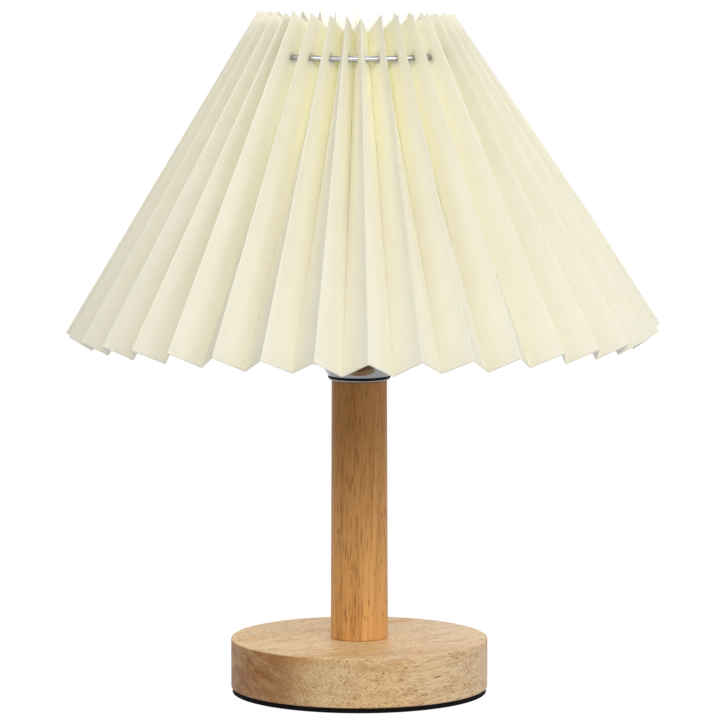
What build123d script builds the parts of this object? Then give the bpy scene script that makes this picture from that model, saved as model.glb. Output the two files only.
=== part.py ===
from build123d import *
import math
import os

# A table lamp: a pleated fabric shade over a turned wooden column on a round wooden base.
# The origin is the middle of the underside, +Z is up, -Y is the front, and the cord leaves at +Y.
# Lengths are millimetres and angles are degrees.

# Wooden base, its pad and the way in for the cord
base_radius = 65.0
base_height = 25.0
base_edge_radius = 0.6
pad_thickness = 2.5
pad_inset = 0.1
recess_radius = 22.0
recess_depth = 15.0
cord_way_radius = 3.1
cord_way_rise = 9.0
grommet_wall = 1.1
grommet_length = 14.0
grommet_flange_width = 2.3
grommet_flange_thickness = 1.5
grommet_mouth_radius = 0.6

# Wooden column
column_height = 132.0
column_foot_radius = 14.5
column_top_radius = 14.0
column_edge = 0.5

# Hollow rod that clamps the stack, with its nut and washers
rod_radius = 4.95
rod_bore_radius = 4.0
rod_tail = 2.0
rod_end_edge = 0.4
nut_across_flats = 17.0
nut_thickness = 4.0
lock_washer_radius = 9.0
lock_washer_thickness = 2.0
lock_washer_slit = 1.2
base_washer_radius = 15.0
base_washer_thickness = 1.5

# Metal disc, gasket and flared cup on top of the column
disc_radius = 15.5
disc_thickness = 1.0
disc_edge_radius = 0.4
gasket_radius = 15.8
gasket_thickness = 1.2
cup_foot_radius = 16.0
cup_flare_radius = 14.9
cup_rim_height = 8.4
cup_rim_radius = 31.0
cup_wall = 1.0
cup_bead_radius = 1.1

# Lamp holder: cap, insert, screw shell, contacts and outer shell
holder_radius = 19.8
holder_wall = 2.2
cap_neck_radius = 12.5
cap_dome_height = 9.5
cap_height = 24.0
cap_floor = 3.0
boss_radius = 8.0
boss_height = 10.0
rod_reach_in_boss = 8.5
flute_count = 24
flute_radius = 1.2
flute_depth = 0.6
ledge_height = 10.5
ledge_width = 1.6
insert_rim_thickness = 7.5
insert_height = 12.5
lead_hole_radius = 1.6
terminal_spread = 11.5
terminal_size = 5.0
terminal_screw_radius = 1.5
terminal_screw_head_radius = 2.1
terminal_screw_head = 1.1
socket_radius = 13.4
socket_wall = 0.5
socket_height = 24.0
socket_floor_hole_radius = 8.0
contact_height = 3.3
contact_width = 5.0
contact_thickness = 0.6
contact_length = 11.0
contact_pad_length = 5.0
shell_height = 30.5
shell_lip_height = 2.5
shell_mouth_radius = 14.8
shade_seat_below_rim = 15.5
shade_seat_radius = 24.5
shade_seat_thickness = 2.5

# Threaded ring that holds the shade down
ring_nut_flange_radius = 28.5
ring_nut_flange_thickness = 2.5
ring_nut_sleeve_wall = 3.0
ring_nut_height = 9.0
ring_nut_grip_count = 30
ring_nut_grip_radius = 0.9

# Lamp bulb with a 27 mm screw cap
bulb_height = 108.0
bulb_globe_radius = 30.0
bulb_globe_wall = 1.2
bulb_skirt_height = 66.0
bulb_tip_radius = 4.8
bulb_tip_dome = 1.2
bulb_tip_height = 1.8
bulb_glass_radius = 11.6
bulb_glass_height = 3.7
bulb_cap_radius = 13.15
bulb_cap_wall = 0.5
bulb_cap_height = 26.5
bulb_neck_radius = 14.2
bulb_neck_height = 31.0
bulb_housing_wall = 1.6
bulb_spigot_length = 5.0
led_board_thickness = 1.2
led_board_drop = 2.0
led_count = 10
led_size = 3.0
led_thickness = 0.6
led_circle_radius = 15.0

# Pleated shade: the mean line of its flat folded faces, seen in section
pleat_count = 36
first_ridge_angle = 1.6
pleat_face_width = 18.0
pleat_fold_length = 188.7
shade_slant = 32.57
hem_radius = 144.15
hem_below_seat = 19.6
fabric_thickness = 0.8
fold_blunting = 0.2

# Wire frame of the shade
fitter_inner_radius = 20.4
fitter_outer_radius = 28.0
fitter_thickness = 1.2
ring_wire_radius = 1.5
rib_wire_radius = 1.0
frame_arm_count = 3
first_arm_pleat = 6
arm_start_radius = 25.2
top_ring_below_edge = 19.4
punched_hole_radius = 2.1
rib_inset = 1.0

# Clearances
rod_slack = 0.35
thread_gap = 0.05
press_gap = 0.05
running_gap = 0.1
fit_gap = 0.1
counterbore_gap = 0.2

# Heights that follow from the stack
base_top = pad_thickness + base_height
column_top = base_top + column_height
disc_top = column_top + disc_thickness
gasket_top = disc_top + gasket_thickness
holder_foot = gasket_top + cup_wall
cap_top = holder_foot + cap_height
ledge_top = holder_foot + ledge_height
insert_top = ledge_top + insert_height
shell_top = cap_top + shell_height
shade_seat = shell_top - shade_seat_below_rim
ring_nut_foot = shade_seat + fitter_thickness
bulb_foot = insert_top + contact_height + fit_gap
recess_top = pad_thickness + recess_depth
base_washer_foot = recess_top - base_washer_thickness
lock_washer_foot = base_washer_foot - lock_washer_thickness
nut_foot = lock_washer_foot - nut_thickness
cord_height = pad_thickness + cord_way_rise

# Radii that follow from the fits
rod_hole_radius = rod_radius + rod_slack
rod_thread_radius = rod_radius + thread_gap
cap_inner_radius = holder_radius - holder_wall
ledge_radius = cap_inner_radius - ledge_width
skirt_radius = cap_inner_radius - fit_gap
grommet_radius = cord_way_radius + grommet_wall
grommet_hole_radius = grommet_radius + press_gap
grommet_flange_radius = grommet_radius + grommet_flange_width
counterbore_radius = grommet_flange_radius + counterbore_gap


def at_angle(radius, angle):
    """Point on a circle round the lamp's axis, its angle counted from the front towards +X."""
    return (radius * math.sin(math.radians(angle)), -radius * math.cos(math.radians(angle)))


os.makedirs("parts", exist_ok=True)

# Base

with BuildPart() as base_pad:
    with BuildSketch():
        Circle(base_radius - base_edge_radius - pad_inset)
    extrude(amount=pad_thickness)

# The counterbore is deep enough for the grommet's flange to sink below the round side
counterbore_bow = base_radius - math.sqrt(base_radius**2 - counterbore_radius**2)
counterbore_depth = grommet_flange_thickness + counterbore_bow
cord_way_mouth = Plane(origin=(0, base_radius, cord_height), x_dir=(1, 0, 0), z_dir=(0, 1, 0))

with BuildPart() as base_disc:
    with BuildSketch(Plane.XY.offset(pad_thickness)):
        Circle(base_radius)
    extrude(amount=base_height)
    fillet(base_disc.edges().filter_by(GeomType.CIRCLE), radius=base_edge_radius)
    with BuildSketch(Plane.XY.offset(pad_thickness)):
        Circle(recess_radius)
    extrude(amount=recess_depth, mode=Mode.SUBTRACT)
    with BuildSketch(Plane.XY.offset(pad_thickness)):
        Circle(rod_hole_radius)
    extrude(amount=base_height, mode=Mode.SUBTRACT)
    with Locations(cord_way_mouth):
        CounterBoreHole(
            radius=grommet_hole_radius,
            counter_bore_radius=counterbore_radius,
            counter_bore_depth=counterbore_depth,
            depth=base_radius - recess_radius + grommet_hole_radius,
        )

grommet_seat = cord_way_mouth.offset(-counterbore_depth)

with BuildPart() as cord_grommet:
    with BuildSketch(grommet_seat):
        Circle(grommet_flange_radius)
    extrude(amount=grommet_flange_thickness)
    with BuildSketch(grommet_seat):
        Circle(grommet_radius)
    extrude(amount=-grommet_length)
    with Locations(grommet_seat):
        Hole(radius=cord_way_radius)
    mouth = cord_grommet.faces().sort_by(Axis.Y)[-1].inner_wires()[0].edges()
    fillet(mouth, radius=grommet_mouth_radius)

# Column, rod and fixings

with BuildPart() as column:
    with BuildSketch(Plane.XZ):
        with BuildLine():
            Polyline(
                (rod_hole_radius, base_top),
                (column_foot_radius - column_edge, base_top),
                (column_foot_radius, base_top + column_edge),
                (column_top_radius, column_top - column_edge),
                (column_top_radius - column_edge, column_top),
                (rod_hole_radius, column_top),
                close=True,
            )
        make_face()
    revolve(axis=Axis.Z)

rod_foot = nut_foot - rod_tail
rod_top = holder_foot + rod_reach_in_boss

with BuildPart() as threaded_rod:
    with BuildSketch(Plane.XY.offset(rod_foot)):
        Circle(rod_radius)
    extrude(amount=rod_top - rod_foot)
    chamfer(threaded_rod.edges().filter_by(GeomType.CIRCLE), length=rod_end_edge)
    with BuildSketch(Plane.XY.offset(rod_foot)):
        Circle(rod_bore_radius)
    extrude(amount=rod_top - rod_foot, mode=Mode.SUBTRACT)

with BuildPart() as base_washer:
    with BuildSketch(Plane.XY.offset(base_washer_foot)):
        Circle(base_washer_radius)
        Circle(rod_hole_radius, mode=Mode.SUBTRACT)
    extrude(amount=base_washer_thickness)

with BuildPart() as lock_washer:
    with BuildSketch(Plane.XY.offset(lock_washer_foot)):
        Circle(lock_washer_radius)
        Circle(rod_hole_radius, mode=Mode.SUBTRACT)
        with Locations((lock_washer_radius / 2, 0)):
            Rectangle(lock_washer_radius, lock_washer_slit, mode=Mode.SUBTRACT)
    extrude(amount=lock_washer_thickness)

# The nut's corners are turned off by a cone at 30 degrees, above and below
nut_flat = nut_across_flats / 2
nut_corner = nut_flat / math.cos(math.radians(30))
nut_corner_drop = (nut_corner - nut_flat) * math.tan(math.radians(30))

with BuildPart() as base_nut:
    with BuildSketch(Plane.XY.offset(nut_foot)):
        RegularPolygon(radius=nut_flat, side_count=6, major_radius=False)
        Circle(rod_thread_radius, mode=Mode.SUBTRACT)
    extrude(amount=nut_thickness)
    with BuildSketch(Plane.XZ):
        with BuildLine():
            Polyline(
                (0, nut_foot),
                (nut_flat, nut_foot),
                (nut_corner, nut_foot + nut_corner_drop),
                (nut_corner, nut_foot + nut_thickness - nut_corner_drop),
                (nut_flat, nut_foot + nut_thickness),
                (0, nut_foot + nut_thickness),
                close=True,
            )
        make_face()
    revolve(axis=Axis.Z, mode=Mode.INTERSECT)

# Disc, gasket and flared cup

with BuildPart() as seat_disc:
    with BuildSketch(Plane.XY.offset(column_top)):
        Circle(disc_radius)
    extrude(amount=disc_thickness)
    fillet(seat_disc.edges().filter_by(GeomType.CIRCLE), radius=disc_edge_radius)
    with BuildSketch(Plane.XY.offset(column_top)):
        Circle(rod_hole_radius)
    extrude(amount=disc_thickness, mode=Mode.SUBTRACT)

with BuildPart() as seat_gasket:
    with BuildSketch(Plane.XY.offset(disc_top)):
        Circle(gasket_radius)
        Circle(rod_hole_radius, mode=Mode.SUBTRACT)
    extrude(amount=gasket_thickness)

# The flare's arc is level where it meets the rim and cuts the foot's corner lower down
flare_centre_height = cup_rim_height - cup_flare_radius
flare_reach = math.sqrt(cup_flare_radius**2 - flare_centre_height**2)
flare_centre = (cup_foot_radius + flare_reach, gasket_top + flare_centre_height)
flare_sweep = math.degrees(math.atan2(flare_reach, -flare_centre_height))
inner_flare_radius = cup_flare_radius + cup_wall
inner_flare_drop = cup_wall - flare_centre_height
inner_flare_sweep = math.degrees(math.acos(inner_flare_drop / inner_flare_radius))
rim_middle = gasket_top + cup_rim_height + cup_wall / 2

with BuildPart() as flared_cup:
    with BuildSketch(Plane.XZ):
        with BuildLine():
            underside = CenterArc(flare_centre, cup_flare_radius, 90, flare_sweep)
            upper_side = CenterArc(flare_centre, inner_flare_radius, 90, inner_flare_sweep)
            Line(underside @ 1, (rod_hole_radius, gasket_top))
            Line((rod_hole_radius, gasket_top), (rod_hole_radius, holder_foot))
            Line((rod_hole_radius, holder_foot), upper_side @ 1)
            Line(upper_side @ 0, (cup_rim_radius, rim_middle + cup_wall / 2))
            Line((cup_rim_radius, rim_middle + cup_wall / 2), (cup_rim_radius, rim_middle - cup_wall / 2))
            Line((cup_rim_radius, rim_middle - cup_wall / 2), underside @ 0)
        make_face()
        with Locations((cup_rim_radius, rim_middle)):
            Circle(cup_bead_radius)
    revolve(axis=Axis.Z)

# Lamp holder

dome_top = holder_foot + cap_dome_height
cavity_floor = holder_foot + cap_floor

with BuildPart() as holder_cap:
    with BuildSketch(Plane.XZ):
        with BuildLine():
            dome = RadiusArc((cap_neck_radius, holder_foot), (holder_radius, dome_top), -cap_dome_height)
            Polyline(
                dome @ 1,
                (holder_radius, cap_top),
                (cap_inner_radius, cap_top),
                (cap_inner_radius, ledge_top),
                (ledge_radius, ledge_top),
                (ledge_radius, cavity_floor + holder_wall),
                (cap_neck_radius, cavity_floor),
                (boss_radius, cavity_floor),
                (boss_radius, holder_foot + boss_height),
                (rod_thread_radius, holder_foot + boss_height),
                (rod_thread_radius, holder_foot),
                dome @ 0,
            )
        make_face()
    revolve(axis=Axis.Z)
    with BuildSketch(Plane.XY.offset(dome_top)):
        with PolarLocations(holder_radius + flute_radius - flute_depth, flute_count):
            Circle(flute_radius)
    extrude(amount=cap_top - dome_top, mode=Mode.SUBTRACT)

insert_radius = cap_inner_radius - fit_gap
insert_rim_top = ledge_top + insert_rim_thickness
shell_inner_radius = insert_radius - ledge_width
insert_neck_radius = shell_inner_radius - fit_gap

with BuildPart() as holder_insert:
    with BuildSketch(Plane.XY.offset(ledge_top)):
        Circle(insert_radius)
    extrude(amount=insert_rim_thickness)
    with BuildSketch(Plane.XY.offset(insert_rim_top)):
        Circle(insert_neck_radius)
    extrude(amount=insert_top - insert_rim_top)
    with BuildSketch(Plane.XY.offset(ledge_top)):
        with Locations((0, terminal_spread), (0, -terminal_spread)):
            Circle(lead_hole_radius)
    extrude(amount=insert_height, mode=Mode.SUBTRACT)

terminal_top = ledge_top
terminal_foot = terminal_top - terminal_size
terminal_middle = (terminal_foot + terminal_top) / 2

with BuildPart() as terminal_blocks:
    with BuildSketch(Plane.XY.offset(terminal_foot)):
        with Locations((terminal_spread, 0), (-terminal_spread, 0)):
            Rectangle(terminal_size, terminal_size)
    extrude(amount=terminal_size)
    with BuildSketch(Plane.YZ.offset(-terminal_spread - terminal_size)):
        with Locations((0, terminal_middle)):
            Circle(terminal_screw_radius + thread_gap)
    extrude(amount=2 * (terminal_spread + terminal_size), mode=Mode.SUBTRACT)

terminal_outer = terminal_spread + terminal_size / 2
terminal_inner = terminal_spread - terminal_size / 2

with BuildPart() as terminal_screws:
    for side in (1, -1):
        head_seat = Plane(origin=(side * terminal_outer, 0, terminal_middle), z_dir=(side, 0, 0))
        with BuildSketch(head_seat):
            Circle(terminal_screw_head_radius)
        extrude(amount=terminal_screw_head)
        with BuildSketch(head_seat):
            Circle(terminal_screw_radius)
        extrude(amount=terminal_inner - terminal_outer)

with BuildPart() as screw_shell:
    with BuildSketch(Plane.XY.offset(insert_top)):
        Circle(socket_radius + socket_wall)
        Circle(socket_floor_hole_radius, mode=Mode.SUBTRACT)
    extrude(amount=socket_wall)
    with BuildSketch(Plane.XY.offset(insert_top)):
        Circle(socket_radius + socket_wall)
        Circle(socket_radius, mode=Mode.SUBTRACT)
    extrude(amount=socket_height)

# The contact is one bent strip: a foot on the insert, a rising leg and a level pad under the bulb
contact_top = insert_top + contact_height
leaf_foot_x = -contact_length / 2
leaf_rise_x = -contact_pad_length / 2

with BuildPart() as centre_contact:
    with BuildSketch(Plane.XZ):
        with BuildLine():
            Polyline(
                (leaf_foot_x, insert_top),
                (-leaf_rise_x, insert_top),
                (-leaf_rise_x, insert_top + contact_thickness),
                (leaf_foot_x + 2 * contact_thickness, insert_top + contact_thickness),
                (leaf_rise_x, contact_top - contact_thickness),
                (-leaf_rise_x, contact_top - contact_thickness),
                (-leaf_rise_x, contact_top),
                (leaf_rise_x - contact_thickness / 2, contact_top),
                (leaf_foot_x, insert_top + contact_thickness),
                close=True,
            )
        make_face()
    extrude(amount=contact_width / 2, both=True)

lip_foot = shell_top - shell_lip_height
seat_flange_foot = shade_seat - shade_seat_thickness

with BuildPart() as holder_shell:
    with BuildSketch(Plane.XZ):
        with BuildLine():
            Polyline(
                (shell_inner_radius, insert_rim_top),
                (skirt_radius, insert_rim_top),
                (skirt_radius, cap_top),
                (holder_radius, cap_top),
                (holder_radius, seat_flange_foot),
                (shade_seat_radius, seat_flange_foot),
                (shade_seat_radius, shade_seat),
                (holder_radius, shade_seat),
                (holder_radius, shell_top),
                (shell_mouth_radius, shell_top),
                (shell_mouth_radius, lip_foot),
                (shell_inner_radius, lip_foot),
                close=True,
            )
        make_face()
    revolve(axis=Axis.Z)

ring_nut_radius = holder_radius + running_gap
ring_nut_sleeve_radius = ring_nut_radius + ring_nut_sleeve_wall

with BuildPart() as shade_ring_nut:
    with BuildSketch(Plane.XY.offset(ring_nut_foot)):
        Circle(ring_nut_flange_radius)
        with PolarLocations(ring_nut_flange_radius, ring_nut_grip_count):
            Circle(ring_nut_grip_radius, mode=Mode.SUBTRACT)
    extrude(amount=ring_nut_flange_thickness)
    with BuildSketch(Plane.XY.offset(ring_nut_foot)):
        Circle(ring_nut_sleeve_radius)
    extrude(amount=ring_nut_height)
    with BuildSketch(Plane.XY.offset(ring_nut_foot)):
        Circle(ring_nut_radius)
    extrude(amount=ring_nut_height, mode=Mode.SUBTRACT)

# Bulb

bulb_tip_top = bulb_foot + bulb_tip_height
bulb_glass_top = bulb_tip_top + bulb_glass_height
bulb_cap_top = bulb_foot + bulb_cap_height
bulb_neck_top = bulb_foot + bulb_neck_height
bulb_skirt_top = bulb_foot + bulb_skirt_height
globe_centre = bulb_foot + bulb_height - bulb_globe_radius
globe_drop = globe_centre - bulb_skirt_top
globe_mouth_radius = math.sqrt(bulb_globe_radius**2 - globe_drop**2)

with BuildPart() as bulb_tip:
    with BuildSketch(Plane.XZ):
        with BuildLine():
            button = SagittaArc((0, bulb_foot), (bulb_tip_radius, bulb_foot + bulb_tip_dome), -bulb_tip_dome / 4)
            Polyline(button @ 1, (bulb_tip_radius, bulb_tip_top), (0, bulb_tip_top), button @ 0)
        make_face()
    revolve(axis=Axis.Z)

with BuildPart() as bulb_glass:
    with BuildSketch(Plane.XZ):
        with BuildLine():
            Polyline(
                (0, bulb_tip_top),
                (bulb_tip_radius, bulb_tip_top),
                (bulb_glass_radius, bulb_glass_top),
                (0, bulb_glass_top),
                close=True,
            )
        make_face()
    revolve(axis=Axis.Z)

bulb_cap_inner_radius = bulb_cap_radius - bulb_cap_wall
bulb_cap_shoulder = bulb_glass_top + bulb_cap_radius - bulb_glass_radius

with BuildPart() as bulb_cap:
    with BuildSketch(Plane.XZ):
        with BuildLine():
            Polyline(
                (0, bulb_glass_top),
                (bulb_glass_radius, bulb_glass_top),
                (bulb_cap_radius, bulb_cap_shoulder),
                (bulb_cap_radius, bulb_cap_top),
                (bulb_cap_inner_radius, bulb_cap_top),
                (bulb_cap_inner_radius, bulb_cap_shoulder),
                (bulb_glass_radius, bulb_glass_top + bulb_cap_wall),
                (0, bulb_glass_top + bulb_cap_wall),
                close=True,
            )
        make_face()
    revolve(axis=Axis.Z)

# The housing flares from the neck and runs on into the globe's own slope
globe_slope = Vector(globe_drop, globe_mouth_radius)
housing_spigot_radius = bulb_cap_inner_radius - fit_gap
housing_bore_radius = housing_spigot_radius - bulb_housing_wall
board_seat = bulb_skirt_top - led_board_drop
housing_bow = 3.0

with BuildPart() as bulb_housing:
    with BuildSketch(Plane.XZ):
        with BuildLine():
            flare = Spline(
                (bulb_neck_radius, bulb_neck_top),
                (globe_mouth_radius, bulb_skirt_top),
                tangents=[(0, 1), globe_slope],
            )
            Polyline(
                flare @ 0,
                (bulb_neck_radius, bulb_cap_top),
                (housing_spigot_radius, bulb_cap_top),
                (housing_spigot_radius, bulb_cap_top - bulb_spigot_length),
                (housing_bore_radius, bulb_cap_top - bulb_spigot_length),
                (housing_bore_radius, bulb_neck_top + housing_bow),
                (globe_mouth_radius - 3 * bulb_housing_wall, board_seat),
                (globe_mouth_radius - bulb_housing_wall, board_seat),
                (globe_mouth_radius - bulb_housing_wall, bulb_skirt_top),
                flare @ 1,
            )
        make_face()
    revolve(axis=Axis.Z)

with BuildPart() as bulb_globe:
    with BuildSketch(Plane.XZ):
        with Locations((0, globe_centre)):
            Circle(bulb_globe_radius)
            Circle(bulb_globe_radius - bulb_globe_wall, mode=Mode.SUBTRACT)
        with Locations((bulb_globe_radius / 2, bulb_skirt_top + bulb_height / 2)):
            Rectangle(bulb_globe_radius, bulb_height, mode=Mode.INTERSECT)
    revolve(axis=Axis.Z)

with BuildPart() as led_board:
    with BuildSketch(Plane.XY.offset(board_seat)):
        Circle(globe_mouth_radius - bulb_housing_wall - fit_gap)
    extrude(amount=led_board_thickness)
    with BuildSketch(Plane.XY.offset(board_seat + led_board_thickness)):
        with PolarLocations(led_circle_radius, led_count):
            Rectangle(led_size, led_size)
    extrude(amount=led_thickness)

# Pleated shade

slant_sin = math.sin(math.radians(shade_slant))
slant_cos = math.cos(math.radians(shade_slant))
pleat_angle = 360 / pleat_count


def fold_end(mean_radius, mean_height, side):
    """Radius and height where a fold ends: side is 1 for an outer ridge and -1 for an inner valley.

    The faces keep their width, so the zigzag stands deeper where its pitch is tighter.
    """
    half_pitch = math.pi * mean_radius / pleat_count
    half_depth = math.sqrt(pleat_face_width**2 - half_pitch**2) / 2
    return (mean_radius + side * half_depth * slant_cos, mean_height + side * half_depth * slant_sin)


hem_height = shade_seat - hem_below_seat
crown_radius = hem_radius - pleat_fold_length * slant_sin
crown_height = hem_height + pleat_fold_length * slant_cos
ridge_low = fold_end(hem_radius, hem_height, 1)
ridge_high = fold_end(crown_radius, crown_height, 1)
valley_low = fold_end(hem_radius, hem_height, -1)
valley_high = fold_end(crown_radius, crown_height, -1)


def fold_radius(height, low, high):
    """Radius of a fold line at a height, on the straight line through its two ends."""
    return low[0] + (height - low[1]) * (high[0] - low[0]) / (high[1] - low[1])


def zigzag(height, shift):
    """Corners of the pleats' level section, with each face moved outwards by shift."""
    ridge = fold_radius(height, ridge_low, ridge_high)
    valley = fold_radius(height, valley_low, valley_high)
    half_angle = math.radians(pleat_angle / 2)
    ridge_lean = math.atan2(valley * math.sin(half_angle), ridge - valley * math.cos(half_angle))
    valley_lean = math.atan2(ridge * math.sin(half_angle), ridge * math.cos(half_angle) - valley)
    corners = []
    for number in range(pleat_count):
        ridge_angle = first_ridge_angle + number * pleat_angle
        corners.append(at_angle(ridge + shift / math.sin(ridge_lean), ridge_angle))
        corners.append(at_angle(valley + shift / math.sin(valley_lean), ridge_angle + pleat_angle / 2))
    return corners


def fold_envelope(end, side):
    """Point just outside a fold's end, square to the slant, where the fabric's fold is blunted."""
    reach = side * (fabric_thickness / 2 + fold_blunting)
    return (end[0] + reach * slant_cos, end[1] + reach * slant_sin)


section_heights = [valley_low[1] - fabric_thickness, (valley_low[1] + ridge_high[1]) / 2]
section_heights.append(ridge_high[1] + fabric_thickness)

with BuildPart() as pleat_core:
    for height in section_heights:
        with BuildSketch(Plane.XY.offset(height)):
            with BuildLine():
                Polyline(*zigzag(height, -fabric_thickness / 2), close=True)
            make_face()
    loft(ruled=True)

top_ring_radius = crown_radius + top_ring_below_edge * slant_sin
top_ring_height = crown_height - top_ring_below_edge * slant_cos
hole_drop = punched_hole_radius - ring_wire_radius - fit_gap

with BuildPart() as pleated_shade:
    for height in section_heights:
        with BuildSketch(Plane.XY.offset(height)):
            with BuildLine():
                Polyline(*zigzag(height, fabric_thickness / 2), close=True)
            make_face()
    loft(ruled=True)
    add(pleat_core.part, mode=Mode.SUBTRACT)
    with BuildSketch(Plane.XZ):
        with BuildLine():
            Polyline(
                fold_envelope(ridge_low, 1),
                fold_envelope(ridge_high, 1),
                fold_envelope(valley_high, -1),
                fold_envelope(valley_low, -1),
                close=True,
            )
        make_face()
    revolve(axis=Axis.Z, mode=Mode.INTERSECT)
    with Locations((0, 0, top_ring_height - hole_drop)):
        Torus(top_ring_radius, punched_hole_radius, mode=Mode.SUBTRACT)

# Wire frame

with BuildPart() as fitter_ring:
    with BuildSketch(Plane.XY.offset(shade_seat)):
        Circle(fitter_outer_radius)
        Circle(fitter_inner_radius, mode=Mode.SUBTRACT)
    extrude(amount=fitter_thickness)

with BuildPart() as top_ring:
    with Locations((0, 0, top_ring_height)):
        Torus(top_ring_radius, ring_wire_radius)

# The lower ring lies inside the valley folds, square to their slope
lower_ring_height = shade_seat - ring_wire_radius
valley_run = valley_low[0] - valley_high[0]
valley_rise = valley_high[1] - valley_low[1]
valley_slope_cos = valley_rise / math.hypot(valley_run, valley_rise)
lower_ring_clear = ring_wire_radius + fabric_thickness / 2 + fold_blunting + fit_gap
lower_ring_radius = fold_radius(lower_ring_height, valley_low, valley_high) - lower_ring_clear / valley_slope_cos

with BuildPart() as lower_ring:
    with Locations((0, 0, lower_ring_height)):
        Torus(lower_ring_radius, ring_wire_radius)

# The arms and ribs stand in the planes of ridge folds, evenly round the frame
arm_angles = []
for number in range(frame_arm_count):
    arm_pleat = first_arm_pleat + round(number * pleat_count / frame_arm_count)
    arm_angles.append(first_ridge_angle + arm_pleat * pleat_angle)

with BuildPart() as frame_arms:
    for angle in arm_angles:
        across = at_angle(1, angle)
        arm_root = at_angle(arm_start_radius, angle)
        arm_plane = Plane(origin=(arm_root[0], arm_root[1], lower_ring_height), z_dir=(across[0], across[1], 0))
        with BuildSketch(arm_plane):
            Circle(ring_wire_radius)
        extrude(amount=lower_ring_radius - arm_start_radius)
    add(lower_ring.part, mode=Mode.SUBTRACT)

rib_top_radius = top_ring_radius - rib_inset

with BuildPart() as frame_ribs:
    for angle in arm_angles:
        foot = at_angle(lower_ring_radius, angle)
        head = at_angle(rib_top_radius, angle)
        rib_line = Vector(head[0], head[1], top_ring_height) - Vector(foot[0], foot[1], lower_ring_height)
        rib_plane = Plane(origin=(foot[0], foot[1], lower_ring_height), z_dir=rib_line)
        with BuildSketch(rib_plane):
            Circle(rib_wire_radius)
        extrude(amount=rib_line.length)
    add(lower_ring.part, mode=Mode.SUBTRACT)
    add(top_ring.part, mode=Mode.SUBTRACT)
    add(frame_arms.part, mode=Mode.SUBTRACT)

pieces = {
    "base_pad": base_pad,
    "base_disc": base_disc,
    "cord_grommet": cord_grommet,
    "base_washer": base_washer,
    "lock_washer": lock_washer,
    "base_nut": base_nut,
    "threaded_rod": threaded_rod,
    "column": column,
    "seat_disc": seat_disc,
    "seat_gasket": seat_gasket,
    "flared_cup": flared_cup,
    "holder_cap": holder_cap,
    "holder_insert": holder_insert,
    "terminal_blocks": terminal_blocks,
    "terminal_screws": terminal_screws,
    "screw_shell": screw_shell,
    "centre_contact": centre_contact,
    "holder_shell": holder_shell,
    "shade_ring_nut": shade_ring_nut,
    "bulb_tip": bulb_tip,
    "bulb_glass": bulb_glass,
    "bulb_cap": bulb_cap,
    "bulb_housing": bulb_housing,
    "bulb_globe": bulb_globe,
    "led_board": led_board,
    "pleated_shade": pleated_shade,
    "fitter_ring": fitter_ring,
    "top_ring": top_ring,
    "lower_ring": lower_ring,
    "frame_arms": frame_arms,
    "frame_ribs": frame_ribs,
}

for piece_name, piece in pieces.items():
    piece.part.label = piece_name
    export_step(piece.part, f"parts/{piece_name}.step")
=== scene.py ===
"""Dresses the pleated table lamp: fabric shade, wood, plated metal, welds, studio and camera.

Lengths are metres in the lamp's own frame: the origin is the middle of the underside and +Z is up.
"""

import logging
import math
import random
from collections.abc import Sequence
from dataclasses import dataclass, field
from enum import Enum

import bmesh
import bpy
from mathutils import Matrix, Vector, noise


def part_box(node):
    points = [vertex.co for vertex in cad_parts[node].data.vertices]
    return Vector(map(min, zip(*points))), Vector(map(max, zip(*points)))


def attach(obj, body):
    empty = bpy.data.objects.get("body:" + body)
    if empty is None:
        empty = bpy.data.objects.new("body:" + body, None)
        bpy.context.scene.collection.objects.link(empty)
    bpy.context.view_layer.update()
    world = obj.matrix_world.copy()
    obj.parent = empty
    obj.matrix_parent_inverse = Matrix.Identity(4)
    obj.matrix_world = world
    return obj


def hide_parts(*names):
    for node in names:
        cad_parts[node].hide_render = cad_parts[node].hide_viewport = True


log = logging.getLogger("pleated_lamp")
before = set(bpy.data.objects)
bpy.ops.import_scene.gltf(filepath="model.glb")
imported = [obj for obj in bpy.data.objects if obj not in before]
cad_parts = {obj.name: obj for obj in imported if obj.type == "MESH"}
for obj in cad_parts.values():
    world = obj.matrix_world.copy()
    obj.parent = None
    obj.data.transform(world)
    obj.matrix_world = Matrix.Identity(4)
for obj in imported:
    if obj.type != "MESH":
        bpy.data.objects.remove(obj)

MM = 0.001
Colour = tuple[float, float, float]


class Plating(Enum):
    """The bright finishes of the metal pieces, by how rough they are."""

    MIRROR = 0.04
    WIRE = 0.16
    ZINC = 0.34
    STAMPED = 0.26


def srgb(red: int, green: int, blue: int) -> Colour:
    """Turns a colour as a screen shows it, 0 to 255, into the shader's linear one.

    Args:
        red: red as shown.
        green: green as shown.
        blue: blue as shown.

    Returns:
        The linear colour.
    """
    shown = [channel / 255 for channel in (red, green, blue)]
    linear = [c / 12.92 if c <= 0.04045 else ((c + 0.055) / 1.055) ** 2.4 for c in shown]
    return (linear[0], linear[1], linear[2])


# Shader building

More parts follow.
